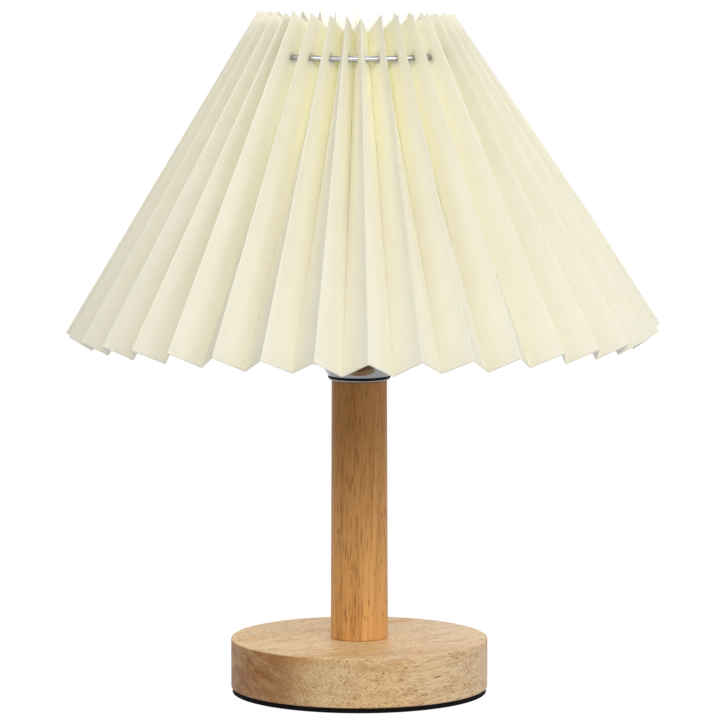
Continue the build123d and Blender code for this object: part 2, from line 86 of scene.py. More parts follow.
class Signal:
    """A shader socket that takes part in Python's arithmetic."""

    def __init__(self, recipe: "Recipe", socket: bpy.types.NodeSocket) -> None:
        """Wraps one output socket of a recipe's node."""
        self.recipe = recipe
        self.socket = socket

    def __add__(self, other: "Signal | float") -> "Signal":
        """Adds a signal or a number."""
        return self.recipe.maths("ADD", self, other)

    def __sub__(self, other: "Signal | float") -> "Signal":
        """Takes a signal or a number away."""
        return self.recipe.maths("SUBTRACT", self, other)

    def __rsub__(self, other: float) -> "Signal":
        """Takes this signal from a number."""
        return self.recipe.maths("SUBTRACT", other, self)

    def __mul__(self, other: "Signal | float") -> "Signal":
        """Multiplies by a signal or a number."""
        return self.recipe.maths("MULTIPLY", self, other)

    def __truediv__(self, other: "Signal | float") -> "Signal":
        """Divides by a signal or a number."""
        return self.recipe.maths("DIVIDE", self, other)

    __radd__ = __add__
    __rmul__ = __mul__

    def above(self, edge: float, softness: float) -> "Signal":
        """Rises from 0 to 1 as the signal passes an edge.

        Args:
            edge: the value where the rise starts.
            softness: how much more it takes to reach 1.

        Returns:
            The mask.
        """
        return self.recipe.signal(
            "ShaderNodeMapRange",
            {"interpolation_type": "SMOOTHSTEP"},
            {"Value": self, "From Min": edge, "From Max": edge + softness},
        )

    def below(self, edge: float, softness: float) -> "Signal":
        """Falls from 1 to 0 as the signal passes an edge, over the given softness."""
        return 1.0 - self.above(edge, softness)


class Recipe:
    """The node tree of a material or of the world, with a single method that makes every node."""

    def __init__(self, owner: "str | bpy.types.World") -> None:
        """Empties the tree of a new material of the name given, or of the world given."""
        self.owner = bpy.data.materials.new(owner) if isinstance(owner, str) else owner
        self.owner.use_nodes = True
        self.tree = self.owner.node_tree
        self.tree.nodes.clear()

    def node(
        self,
        kind: str,
        settings: dict[str, object] | None = None,
        sockets: dict[str | int, object] | None = None,
    ) -> bpy.types.Node:
        """Makes a node.

        Args:
            kind: the node's type.
            settings: its own settings, set first; stops are a colour ramp's places and colours.
            sockets: the value or the signal of each input, by name or number.

        Returns:
            The node.
        """
        made = self.tree.nodes.new(kind)
        for key, value in (settings or {}).items():
            if key == "stops":
                self.set_stops(made, value)
            else:
                setattr(made, key, value)
        for key, value in (sockets or {}).items():
            if isinstance(value, Signal):
                self.tree.links.new(value.socket, made.inputs[key])
            else:
                made.inputs[key].default_value = value
        return made

    @staticmethod
    def set_stops(ramp: bpy.types.Node, stops: Sequence[tuple[float, Colour]]) -> None:
        """Gives a colour ramp its stops, in order."""
        elements = ramp.color_ramp.elements
        while len(elements) < len(stops):
            elements.new(1.0)
        for element, (place, colour) in zip(elements, stops):
            element.position = place
            element.color = (*colour, 1.0)

    def signal(
        self,
        kind: str,
        settings: dict[str, object] | None = None,
        sockets: dict[str | int, object] | None = None,
        output: int | str = 0,
    ) -> Signal:
        """Makes a node and returns one of its outputs as a signal."""
        return Signal(self, self.node(kind, settings, sockets).outputs[output])

    def maths(self, operation: str, *values: "Signal | float") -> Signal:
        """Makes one Math node of the values given."""
        return self.signal("ShaderNodeMath", {"operation": operation}, dict(enumerate(values)))

    def place(self, stretch: Sequence[float] = (1, 1, 1), along: Sequence[float] = (1, 0, 0)) -> Signal:
        """Object coordinates in metres, turned and then stretched.

        Args:
            stretch: the factor along each turned axis.
            along: the direction in the piece that becomes the first axis.

        Returns:
            The vector.
        """
        metres = self.signal("ShaderNodeTexCoord", output="Object")
        turn = Vector(along).rotation_difference(Vector((1, 0, 0))).to_euler()
        turned = self.signal("ShaderNodeMapping", {}, {"Vector": metres, "Rotation": tuple(turn)})
        return self.stretched(turned, stretch)

    def stretched(self, vector: Signal, stretch: Sequence[float]) -> Signal:
        """A vector multiplied along each axis."""
        return self.signal("ShaderNodeVectorMath", {"operation": "MULTIPLY"}, {0: vector, 1: tuple(stretch)})

    def noise(self, vector: Signal, scale: float, detail: float = 2.0, bend: float = 0.0) -> Signal:
        """Smooth noise from 0 to 1, with as much detail and distortion as given."""
        sockets = {"Vector": vector, "Scale": scale, "Detail": detail, "Distortion": bend}
        return self.signal("ShaderNodeTexNoise", {}, sockets)

    def cells(self, vector: Signal, scale: float) -> Signal:
        """Distance from the nearest of scattered points."""
        return self.signal("ShaderNodeTexVoronoi", {}, {"Vector": vector, "Scale": scale})

    def blend(self, mask: "Signal | float", first: "Signal | Colour", second: "Signal | Colour") -> Signal:
        """Goes from the first colour to the second as the mask goes from 0 to 1."""
        sockets: dict[str | int, object] = {0: mask}
        for number, colour in ((6, first), (7, second)):
            sockets[number] = colour if isinstance(colour, Signal) else (*colour, 1.0)
        return self.signal("ShaderNodeMix", {"data_type": "RGBA"}, sockets, output=2)

    def split(self, vector: Signal) -> tuple[Signal, Signal, Signal]:
        """The three parts of a vector."""
        made = self.node("ShaderNodeSeparateXYZ", {}, {0: vector})
        return (Signal(self, made.outputs[0]), Signal(self, made.outputs[1]), Signal(self, made.outputs[2]))

    def bump(self, height: Signal, depth: float, strength: float = 1.0) -> Signal:
        """A normal pushed in and out by a height from 0 to 1, over a depth in metres."""
        return self.signal("ShaderNodeBump", {}, {"Height": height, "Distance": depth, "Strength": strength})

    def surface(self, **sockets: object) -> bpy.types.Material:
        """Ends the recipe in one Principled shader, whose sockets are named with underscores.

        Returns:
            The finished material.
        """
        named = {
            key.replace("_", " "): (*value, 1.0) if isinstance(value, tuple) and key.endswith("Color") else value
            for key, value in sockets.items()
        }
        shader = self.signal("ShaderNodeBsdfPrincipled", {}, named)
        self.node("ShaderNodeOutputMaterial", {}, {"Surface": shader})
        return self.owner


# Finishes

@dataclass(frozen=True)
class LacqueredWood:
    """Pale open-pored timber under a clear satin lacquer, darker where its ends drank the lacquer."""

    name: str
    grain: Sequence[float]
    pale: Colour
    ripe: Colour
    streak: Colour
    pore: Colour
    soaked: Colour
    end_reach: float
    end_top: float
    end_way: Sequence[float] = (1, 0.15, 0)
    band_size: Sequence[float] = (5, 42, 42)
    pore_size: Sequence[float] = (75, 1250, 1250)
    dash_size: Sequence[float] = (75, 700, 700)
    dashes: float = 0.0
    # painted light and shade: a tone blended in along a way, past a start, where the light falls or the shadow lies
    lighting_tone: Colour = (0.5, 0.5, 0.5)
    lighting_way: Sequence[float] = (1, 0, 0)
    lighting_from: float = 0.0
    lighting_reach: float = 0.1
    lighting_share: float = 0.0
    amber: Colour = (0.6, 0.35, 0.1)
    amber_share: float = 0.0

    def material(self) -> bpy.types.Material:
        """Builds a solid grain, so that ends show pores and sides show dashes.

        Returns:
            The material.
        """
        recipe = Recipe(self.name)
        bands = recipe.noise(recipe.place(self.band_size, self.grain), 1.0, 3.0, 0.7)
        streaks = recipe.noise(recipe.place((11, 260, 260), self.grain), 1.0, 3.0, 0.3)
        lines = recipe.noise(recipe.place((16, 900, 900), self.grain), 1.0, 2.0)
        fibres = recipe.noise(recipe.place((60, 2600, 2600), self.grain), 1.0, 2.0)
        speckle = recipe.noise(recipe.place((36, 1300, 1300), self.grain), 1.0, 3.0)
        pore_cells = recipe.cells(recipe.place(self.pore_size, self.grain), 1.0)
        pore_patches = recipe.noise(recipe.place((14, 80, 80), self.grain), 1.0, 2.0)
        pores = pore_cells.below(0.18, 0.20) * (0.3 + pore_patches.above(0.38, 0.16) * 0.7)
        reach, _, _ = recipe.split(recipe.place((1, 1, 1), self.end_way))
        _, _, height = recipe.split(recipe.place())
        clouds = recipe.noise(recipe.place((75, 150, 210), (0.6, -0.7, -0.3)), 1.0, 5.0, 0.6)
        at_end = (reach + clouds * 0.026).below(-self.end_reach, 0.024) * height.below(self.end_top, 0.0006)
        soak = at_end * (0.50 + clouds.above(0.32, 0.40) * 0.50)
        way, _, _ = recipe.split(recipe.place((1, 1, 1), self.lighting_way))
        # painted light and shade: the tone rises along its way
        painted_lighting = (way + bands * 0.02).above(self.lighting_from + 0.01, self.lighting_reach) * self.lighting_share
        amber = recipe.noise(recipe.place((12, 34, 60), self.grain), 1.0, 3.0, 0.5).above(0.56, 0.12) * self.amber_share
        banded = recipe.blend(bands.above(0.30, 0.42), self.pale, self.ripe)
        wash = recipe.blend(amber, recipe.blend(painted_lighting, banded, self.lighting_tone), self.amber)
        lined = recipe.blend(streaks.above(0.46, 0.28) * 0.5, wash, self.streak)
        fine = recipe.blend(lines.above(0.54, 0.14) * 0.4, lined, self.streak)
        grained = recipe.blend(fibres.above(0.35, 0.4) * 0.18, fine, self.streak)
        ended = recipe.blend(soak, grained, self.soaked)
        sides = height.below(self.end_top, 0.0006)
        specked = recipe.blend(speckle.above(0.48, 0.12) * (0.05 + sides * 0.20 + at_end * 0.30), ended, self.pore)
        dash_cells = recipe.cells(recipe.place(self.dash_size, self.grain), 1.0)
        dashed = recipe.blend(dash_cells.below(0.12, 0.10) * self.dashes, specked, self.pore)
        colour = recipe.blend(pores * 0.55, dashed, self.pore)
        relief = fibres * 0.25 + streaks * 0.2 - pores * 0.8
        return recipe.surface(
            Base_Color=colour,
            Roughness=0.42 + streaks * 0.12 + pores * 0.2,
            Normal=recipe.bump(relief, 0.00008, 0.6),
            Specular_IOR_Level=0.18,
            Coat_Weight=0.03,
            Coat_Roughness=0.3,
        )


@dataclass(frozen=True)
class PlatedMetal:
    """Bright metal with faint polishing marks and patches."""

    name: str
    colour: Colour
    plating: Plating
    mark_depth: float = 0.000004

    def material(self) -> bpy.types.Material:
        """Builds the plate, its roughness a little uneven."""
        recipe = Recipe(self.name)
        patches = recipe.noise(recipe.place(), 180.0, 3.0)
        marks = recipe.noise(recipe.place((900, 900, 6000)), 1.0, 2.0)
        rough = self.plating.value
        return recipe.surface(
            Base_Color=recipe.blend(patches * 0.18, self.colour, tuple(0.8 * c for c in self.colour)),
            Metallic=1.0,
            Roughness=rough + patches * rough * 0.5,
            Normal=recipe.bump(marks, self.mark_depth, 0.5),
        )


@dataclass(frozen=True)
class Moulded:
    """Moulded plastic, rubber, foam or ceramic, told apart by its roughness and its skin."""

    name: str
    colour: Colour
    roughness: float
    skin_size: float = 0.0006
    skin_depth: float = 0.00002
    coat: float = 0.0
    inner_glow: float = 0.0
    inner_reach: float = 0.001
    shine: float = 0.5

    def material(self) -> bpy.types.Material:
        """Builds the skin as fine noise over a colour with faint clouds."""
        recipe = Recipe(self.name)
        skin = recipe.noise(recipe.place(), 1.0 / self.skin_size, 3.0)
        clouds = recipe.noise(recipe.place(), 70.0, 2.0)
        return recipe.surface(
            Base_Color=recipe.blend(clouds * 0.22, self.colour, tuple(0.72 * c for c in self.colour)),
            Roughness=self.roughness + skin * 0.1,
            Normal=recipe.bump(skin, self.skin_depth, 0.7),
            Specular_IOR_Level=self.shine,
            Coat_Weight=self.coat,
            Subsurface_Weight=self.inner_glow,
            Subsurface_Radius=(1.0, 0.93, 0.8),
            Subsurface_Scale=self.inner_reach,
        )


@dataclass(frozen=True)
class PleatFabric:
    """Ivory plain weave over a stiff film; its threads follow the strip that the pleats were folded from."""

    name: str
    cloth: Colour
    cloud: Colour
    # painted light: a lighter yellow glow in the valleys near the crown
    crease_glow: Colour
    # painted highlight: a whiter colour along the ridge folds
    ridge_highlight: Colour
    # painted shade: a darker cream towards the valleys on the lower part of the shade
    fold: Colour
    # painted glow: the cloth's emission near the crown, standing in for light through the cloth
    shine_through: Colour
    face_width: float
    thread_pitch: float = 0.00042
    weave_depth: float = 0.00003

    def material(self) -> bpy.types.Material:
        """Builds warp and weft from the piece's own UV map, which is in metres, with painted shade, highlight and glow
        in the pleats.

        Returns:
            The material.
        """
        recipe = Recipe(self.name)
        flat = recipe.signal("ShaderNodeUVMap", {"uv_map": "strip"})
        across, along, _ = recipe.split(flat)
        turns = 2 * math.pi / self.thread_pitch
        weave = recipe.maths("SINE", across * turns) * recipe.maths("SINE", along * turns) * 0.5 + 0.5
        slubs = recipe.noise(recipe.stretched(flat, (260, 2400, 1)), 1.0, 3.0)
        slubs_down = recipe.noise(recipe.stretched(flat, (1500, 90, 1)), 1.0, 3.0)
        clouds = recipe.noise(recipe.stretched(flat, (90, 30, 1)), 1.0, 3.0)
        tint = slubs * 0.25 + slubs_down * 0.35 + clouds * 0.40
        from_ridge = recipe.maths("PINGPONG", across, self.face_width) / self.face_width
        woven = recipe.blend(tint.above(0.36, 0.30), self.cloth, self.cloud)
        # painted shade: the faces darken towards their valleys, lower down the shade
        valley_shaded = recipe.blend(from_ridge.above(0.25, 0.55) * along.below(0.10, 0.08) * 0.35, woven, self.fold)
        # painted light: the valleys near the crown blended to a lighter yellow glow
        crown_glow_mask = from_ridge.above(0.30, 0.60) * along.above(0.05, 0.13)
        crown_glowed = recipe.blend(crown_glow_mask, valley_shaded, self.crease_glow)
        # painted highlight: the ridge folds blended whiter
        colour = recipe.blend(from_ridge.below(0.012, 0.05) * 0.4, crown_glowed, self.ridge_highlight)
        return recipe.surface(
            Base_Color=colour,
            Roughness=0.74 + slubs * 0.12,
            Normal=recipe.bump(weave * 0.6 + slubs_down * 0.4, self.weave_depth, 0.5),
            Sheen_Weight=0.15,
            Sheen_Roughness=0.5,
            Specular_IOR_Level=0.3,
            Subsurface_Weight=0.2,
            Subsurface_Radius=(1.0, 0.93, 0.72),
            Subsurface_Scale=0.0008,
            # painted glow: emission in the valleys near the crown
            Emission_Color=recipe.blend(
                along.above(0.07, 0.13) * from_ridge.above(0.1, 0.5), (0.0, 0.0, 0.0), self.shine_through
            ),
            Emission_Strength=1.0,
        )


@dataclass(frozen=True)
class PleatFilm:
    """Smooth film inside the pleats, with a painted glow, brightest near the crown, that stands in for light through
    the cloth.
    """

    name: str
    film: Colour
    shine_through: Colour
    reach: float = 0.016
    edge: float = 0.1887

    def material(self) -> bpy.types.Material:
        """Builds the film, its painted glow brightest at the crown's edge."""
        recipe = Recipe(self.name)
        flat = recipe.signal("ShaderNodeUVMap", {"uv_map": "strip"})
        _, along, _ = recipe.split(flat)
        low = tuple(0.35 * part for part in self.shine_through)
        through = recipe.blend(along.above(self.edge - self.reach, self.reach), low, self.shine_through)
        return recipe.surface(
            Base_Color=self.film,
            Roughness=0.4 + recipe.noise(recipe.stretched(flat, (900, 900, 1)), 1.0) * 0.1,
            Emission_Color=through,
            Emission_Strength=1.0,
        )


# Mesh building

def new_piece(name: str, mesh: bmesh.types.BMesh, smooth_angle: float | None = 40.0) -> bpy.types.Object:
    """Makes an object of a finished bmesh, at the origin.

    Args:
        name: the piece's name.
        mesh: its geometry, which is freed.
        smooth_angle: edges sharper than this many degrees stay sharp; None leaves all flat.

    Returns:
        The object.
    """
    data = bpy.data.meshes.new(name)
    mesh.to_mesh(data)
    mesh.free()
    piece = bpy.data.objects.new(name, data)
    bpy.context.scene.collection.objects.link(piece)
    if smooth_angle is not None:
        data.shade_smooth()
        data.set_sharp_from_angle(angle=math.radians(smooth_angle))
    return piece


def finish_piece(
    piece: bpy.types.Object,
    body: str,
    material: bpy.types.Material,
    nodes: Sequence[str] = (),
) -> bpy.types.Object:
    """Dresses a piece, sets it on its body and hides the CAD nodes it replaces.

    Args:
        piece: the object.
        body: the body it rides on.
        material: its finish.
        nodes: the CAD nodes it replaces.

    Returns:
        The same object.
    """
    if not piece.data.materials:
        piece.data.materials.append(material)
    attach(piece, body)
    if nodes:
        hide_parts(*nodes)
    log.info("%s rides on %s", piece.name, body)
    return piece


def dress(node: str, material: bpy.types.Material) -> None:
    """Gives a CAD node its finish."""
    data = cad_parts[node].data
    data.materials.clear()
    data.materials.append(material)
    log.info("%s keeps its CAD shape", node)


# The shade

@dataclass
class PleatedShade:
    """The fabric: one long strip, folded into pleats and bent round into a cone.

    Pleats are counted from the front one towards the right. Slides, up the slope, and leans, out from it, are in
    millimetres by the angle from the front in degrees; drifts are in degrees, by the pleat, and so is the random
    wander of the folds that no table gives. Where the hem leans in, its ridges do, because the lower ring carries
    its valleys.
    """

    pleat_count: int = 36
    face_width: float = 0.018
    fold_length: float = 0.1887
    slant: float = math.radians(32.57)
    hem_radius: float = 0.14415
    hem_below_seat: float = 0.0196
    first_ridge_angle: float = 1.6
    hole_below_edge: float = 0.0194
    hole_radius: float = 0.0021
    hole_drop: float = 0.0005
    thickness: float = 0.0005
    seed: int = 11
    crown_wander: float = 1.8
    hem_wander: float = 0.22
    hole_search_steps: int = 12
    hem_slides: dict[float, float] = field(default_factory=lambda: {
        -180: -3.6, -135: -2.4, -90: -0.7, -55: 0.5, -39: 1.0, -24: 0.45, -9: 0.4, -3: -1.1,
        1.6: -0.4, 7: -0.9, 12: 0.0, 22: 0.0, 27: -0.5, 41: 0.2, 60: -0.5, 75: -1.2, 90: 0.7, 135: -2.3, 180: -3.6,
    })
    hem_leans: dict[float, float] = field(default_factory=lambda: {
        -180: 0.0, -125: -1.0, -90: -3.2, -60: -1.4, -40: 0.0, 50: 0.0, 65: 0.8, 90: 2.6, 115: 1.2, 150: 0.0, 180: 0.0,
    })
    crown_leans: dict[float, float] = field(default_factory=lambda: {
        -180: 0.0, -90: 0.0, 40: 0.0, 65: -1.6, 90: -3.4, 125: -1.6, 180: 0.0,
    })
    crown_slides: dict[float, float] = field(default_factory=lambda: {
        -180: -4.6, -135: -3.6, -90: -1.0, -60: 0.2, -28: 1.3, -17: 0.4, -8: 0.0,
        1.6: -1.5, 11: 0.6, 60: 0.2, 90: -1.5, 135: -3.4, 180: -4.6,
    })
    crown_drifts: dict[int, float] = field(default_factory=lambda: {
        -6: 0.0, -5: 0.5, -4: -3.2, -3: -0.6, -2: 1.6, -1: 1.2, 0: -0.9, 1: 1.0, 2: 0.8, 3: 0.6, 4: 1.8, 5: 0.4, 6: 0.0,
        18: 0.0,
    })

    def __post_init__(self) -> None:
        """Works out where the frame carries the fabric."""
        self.face_count = 2 * self.pleat_count
        self.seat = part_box("fitter_ring")[0].z
        ring_low, ring_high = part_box("top_ring")
        self.ring_height = (ring_low.z + ring_high.z) / 2
        wire = (ring_high.z - ring_low.z) / 2
        self.ring_radius = ring_high.x - wire
        self.hole_down = self.hole_below_edge / self.fold_length
        dice = random.Random(self.seed)
        self.swells = [(dice.uniform(-0.0006, 0.0010), dice.uniform(-0.0004, 0.0004)) for _ in range(self.face_count)]
        self.folds = self.lay_out_folds(dice)

    @staticmethod
    def read_off(table: dict[float, float], angle: float) -> float:
        """Reads a table at an angle in degrees, straight between its places."""
        angle = (angle + 180) % 360 - 180
        places = sorted(table)
        upper = next((place for place in places if place >= angle), places[-1])
        lower = max((place for place in places if place <= angle), default=places[0])
        share = (angle - lower) / (upper - lower) if upper > lower else 0.0
        return table[lower] + (table[upper] - table[lower]) * share

    def lay_out_folds(self, dice: random.Random) -> list[tuple[Vector, Vector]]:
        """Gives each fold its two ends, ridge and valley in turn, a little uneven as hand-set pleats are.

        Args:
            dice: the seeded randomness.

        Returns:
            The hem end and the crown end of each fold.
        """
        count = self.face_count
        step = 180 / self.pleat_count
        crown_radius = self.hem_radius - self.fold_length * math.sin(self.slant)
        hem_height = self.seat - self.hem_below_seat
        crown_height = hem_height + self.fold_length * math.cos(self.slant)
        drifts = []
        for pleat in range(self.pleat_count):
            known = self.crown_drifts.get(pleat if pleat <= self.pleat_count / 2 else pleat - self.pleat_count)
            drifts.append(dice.uniform(-self.crown_wander, self.crown_wander) if known is None else known)
        ends = []
        for radius, height, slides in (
            (self.hem_radius, hem_height, self.hem_slides),
            (crown_radius, crown_height, self.crown_slides),
        ):
            angles = []
            for number in range(count):
                pleat, valley = divmod(number, 2)
                drift = (drifts[pleat] + drifts[(pleat + valley) % self.pleat_count]) / 2
                wander = drift if slides is self.crown_slides else dice.uniform(-self.hem_wander, self.hem_wander)
                angles.append(self.first_ridge_angle + number * step + wander)
            ring = []
            for number, angle in enumerate(angles):
                before = angle - angles[number - 1] + (360 if number == 0 else 0)
                after = angles[(number + 1) % count] - angle + (360 if number == count - 1 else 0)
                pitch = radius * math.radians(before + after) / 2
                half_depth = math.sqrt(self.face_width**2 - pitch**2) / 2
                half_depth *= 1 if number % 2 == 0 else -1
                slide = self.read_off(slides, angle) * MM
                out = radius + half_depth * math.cos(self.slant) - slide * math.sin(self.slant)
                up = height + half_depth * math.sin(self.slant) + slide * math.cos(self.slant)
                bearing = math.radians(angle)
                ring.append(Vector((out * math.sin(bearing), -out * math.cos(bearing), up)))
            ends.append(ring)
        return list(zip(ends[0], ends[1]))

    def on_face(self, number: int, across: float, down: float) -> Vector:
        """Finds a place on a pleat's face.

        Args:
            number: which face, counted from the first ridge.
            across: from 0 at its first fold to 1 at the next.
            down: from 0 at the crown to 1 at the hem.

        Returns:
            The place, with the face a little bellied.
        """
        first = self.folds[number % self.face_count]
        second = self.folds[(number + 1) % self.face_count]
        start = first[1].lerp(first[0], down)
        end = second[1].lerp(second[0], down)
        normal = (end - start).normalized().cross((first[0] - first[1]).normalized())
        swell, twist = self.swells[number % self.face_count]
        belly = swell * math.sin(math.pi * down) + twist * math.sin(2 * math.pi * down)
        place = start.lerp(end, across) + normal * belly * math.sin(math.pi * across)
        bearing = math.atan2(place.x, -place.y)
        lean = self.read_off(self.hem_leans, math.degrees(bearing)) * MM
        lean *= max(0.0, (down - self.hole_down) / (1 - self.hole_down))
        if lean < 0:
            lean *= across if number % 2 else 1 - across
        lean += self.read_off(self.crown_leans, math.degrees(bearing)) * MM * max(0.0, 1 - down / 0.65)
        level = math.cos(self.slant) * lean
        return place + Vector((level * math.sin(bearing), -level * math.cos(bearing), math.sin(self.slant) * lean))

    def find_hole(self, number: int) -> tuple[float, float]:
        """Finds where the top ring passes through a face, by stepping towards it.

        Args:
            number: which face.

        Returns:
            Across and down, as on_face takes them.
        """
        across, down = 0.5, self.hole_down
        nudge = 0.001
        for _ in range(self.hole_search_steps):
            here = self.miss(number, across, down)
            by_across = (self.miss(number, across + nudge, down) - here) / nudge
            by_down = (self.miss(number, across, down + nudge) - here) / nudge
            spread = by_across.x * by_down.y - by_across.y * by_down.x
            across -= (here.x * by_down.y - here.y * by_down.x) / spread
            down -= (by_across.x * here.y - by_across.y * here.x) / spread
        return across, down

    def miss(self, number: int, across: float, down: float) -> Vector:
        """How far a place on a face is from the top ring, outwards and upwards."""
        place = self.on_face(number, across, down)
        out = math.hypot(place.x, place.y) - self.ring_radius
        return Vector((out, place.z - self.ring_height + self.hole_drop))

    def build(self) -> bpy.types.Object:
        """Folds the strip and punches its holes.

        Returns:
            The fabric.
        """
        columns = self.column_places()
        rows = self.row_places()
        cells = len(columns) - 1
        faces = self.face_count
        mesh = bmesh.new()
        bmesh.ops.create_grid(mesh, x_segments=faces * cells, y_segments=len(rows) - 1, size=1.0)
        strip = mesh.loops.layers.uv.new("strip")
        holes = [self.find_hole(number) for number in range(faces)]
        index = {}
        for vertex in mesh.verts:
            column = round((vertex.co.x + 1) / 2 * faces * cells)
            row = round((1 - vertex.co.y) / 2 * (len(rows) - 1))
            index[vertex] = (column, row)
        punched = []
        for face in mesh.faces:
            corners = [index[vertex] for vertex in face.verts]
            column = min(corner[0] for corner in corners)
            row = min(corner[1] for corner in corners)
            number, cell = divmod(column, cells)
            if self.hole_column <= cell < self.hole_column + 4 and self.hole_row <= row < self.hole_row + 4:
                punched.append(face)
            for loop in face.loops:
                corner_column, corner_row = index[loop.vert]
                local = corner_column - number * cells
                across, down = self.warp(columns[local], rows[corner_row], local, corner_row, holes[number])
                loop[strip].uv = ((number + across) * self.face_width, (1 - down) * self.fold_length)
        for vertex, (column, row) in index.items():
            number, local = divmod(column, cells)
            if number == faces:
                number, local = faces - 1, cells
            across, down = self.warp(columns[local], rows[row], local, row, holes[number])
            vertex.co = self.on_face(number, across, down)
        bmesh.ops.delete(mesh, geom=punched, context="FACES")
        bmesh.ops.remove_doubles(mesh, verts=mesh.verts[:], dist=0.00001)
        bmesh.ops.recalc_face_normals(mesh, faces=mesh.faces[:])
        self.face_outwards(mesh)
        return new_piece("shade_fabric", mesh, 60.0)

    def column_places(self) -> list[float]:
        """Places across one face, closer together at its folds and round its hole."""
        radius = self.hole_radius / self.face_width
        start = [0.0, 0.028, 0.07, 0.17]
        middle = [0.5 + radius * step for step in (-1.9, -1, -0.5, 0, 0.5, 1, 1.9)]
        self.hole_column = len(start) + 1
        return start + middle + [0.82, 0.93, 0.972, 1.0]

    def row_places(self) -> list[float]:
        """Places down the pleats, closer together at both edges and round the holes."""
        radius = self.hole_radius / self.fold_length
        start = [0.0, 0.004, 0.018, 0.038, 0.058]
        middle = [self.hole_down + radius * step for step in (-2.2, -1, -0.5, 0, 0.5, 1, 2.2)]
        self.hole_row = len(start) + 1
        rest = 18
        tail = [0.142 + 0.833 * step / rest for step in range(rest + 1)]
        return start + middle + tail + [0.990, 0.997, 1.0]

    def warp(self, across: float, down: float, column: int, row: int, hole: tuple[float, float]) -> tuple[float, float]:
        """Moves a place of the even strip so that its face's hole is round and stands where the ring passes.

        Args:
            across: the even place across the face.
            down: the even place down it.
            column: which column the place is on.
            row: which row it is on.
            hole: where the hole's middle has to be.

        Returns:
            Across and down.
        """
        even_across, even_down = 0.5, self.hole_down
        reach_across = max(0.0, 1 - abs(across - even_across) / 0.40)
        reach_down = max(0.0, 1 - abs(down - even_down) / 0.096)
        pull = min(1.0, 1.6 * reach_across) * min(1.0, 1.6 * reach_down)
        x = column - self.hole_column - 2
        y = row - self.hole_row - 2
        if max(abs(x), abs(y)) == 2 and (x or y):
            round_off = 2 / math.hypot(x, y)
            across = even_across + (across - even_across) * round_off
            down = even_down + (down - even_down) * round_off
        return across + (hole[0] - even_across) * pull, down + (hole[1] - even_down) * pull

    def face_outwards(self, mesh: bmesh.types.BMesh) -> None:
        """Turns the open sheet's faces over if they look at the axis."""
        outward = 0.0
        for face in mesh.faces:
            centre = face.calc_center_median()
            outward += face.normal.dot(Vector((centre.x, centre.y, 0.0)).normalized()) * face.calc_area()
        if outward < 0:
            bmesh.ops.reverse_faces(mesh, faces=mesh.faces[:])

    def dress(
        self, cloth: bpy.types.Material, lining: bpy.types.Material, cut_edge: bpy.types.Material
    ) -> bpy.types.Object:
        """Args:
            cloth: the outside.
            lining: the smooth film inside.
            cut_edge: the strip's cut rim and the rims of its holes.

        Returns:
            The fabric.
        """
        fabric = self.build()
        fabric.data.materials.append(cloth)
        fabric.data.materials.append(lining)
        fabric.data.materials.append(cut_edge)
        wall = fabric.modifiers.new("wall", "SOLIDIFY")
        wall.thickness = self.thickness
        wall.offset = 0.0
        wall.use_even_offset = False
        wall.material_offset = 1
        wall.material_offset_rim = 2
        finish_piece(fabric, "shade", cloth, ["pleated_shade"])
        width = self.face_count * self.face_width
        return fabric


@dataclass
class FrameWelds:
    """The small welds where the shade frame's wires meet."""

    first_angle: float = 61.6
    spokes: int = 3
    fitter_reach: float = 0.0279
    ring_inset: float = 0.0012
    rib_inset: float = 0.0008
    size: float = 0.0021
    slim_size: float = 0.0016
    length_share: float = 1.3
    lump_share: float = 0.14
    lumps_per_metre: float = 1100.0

    def places(self) -> list[tuple[float, float, float]]:
        """Radius, height and size of the welds of one spoke."""
        ring_low, ring_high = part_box("lower_ring")
        top_low, top_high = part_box("top_ring")
        ring_height = (ring_low.z + ring_high.z) / 2
        wire = (ring_high.z - ring_low.z) / 2
        return [
            (self.fitter_reach, ring_height, self.size),
            (ring_high.x - wire - self.ring_inset, ring_height + wire * 0.4, self.size),
            (top_high.x - wire - self.rib_inset, (top_low.z + top_high.z) / 2, self.slim_size),
        ]

    def build(self) -> bpy.types.Object:
        """Sets a slightly long and lumpy bead at each joint of the wires.

        Returns:
            The beads.
        """
        mesh = bmesh.new()
        for spoke in range(self.spokes):
            bearing = math.radians(self.first_angle + spoke * 360 / self.spokes)
            turn = Matrix.Rotation(bearing, 4, "Z")
            for radius, height, size in self.places():
                spot = Vector((0.0, -radius, height))
                stretch = Matrix.Diagonal((size, size * self.length_share, size, 1.0))
                shape = turn @ Matrix.Translation(spot) @ stretch
                made = bmesh.ops.create_icosphere(mesh, subdivisions=3, radius=1.0, matrix=shape)
                middle = turn @ spot
                for vertex in made["verts"]:
                    lump = noise.noise(vertex.co * self.lumps_per_metre) * self.lump_share
                    vertex.co += (vertex.co - middle) * lump
        return new_piece("frame_welds", mesh, 60.0)


# Studio

@dataclass(frozen=True)
class Softbox:
    """A square lamp that looks at the middle of the part.

    Bearing is in degrees to the right of the front and height in degrees above the level; power is in watts and
    size in metres. A softbox that isn't shiny doesn't show in shiny surfaces.
    """

    name: str
    bearing: float
    height: float
    power: float
    size: float = 1.25
    shiny: bool = True


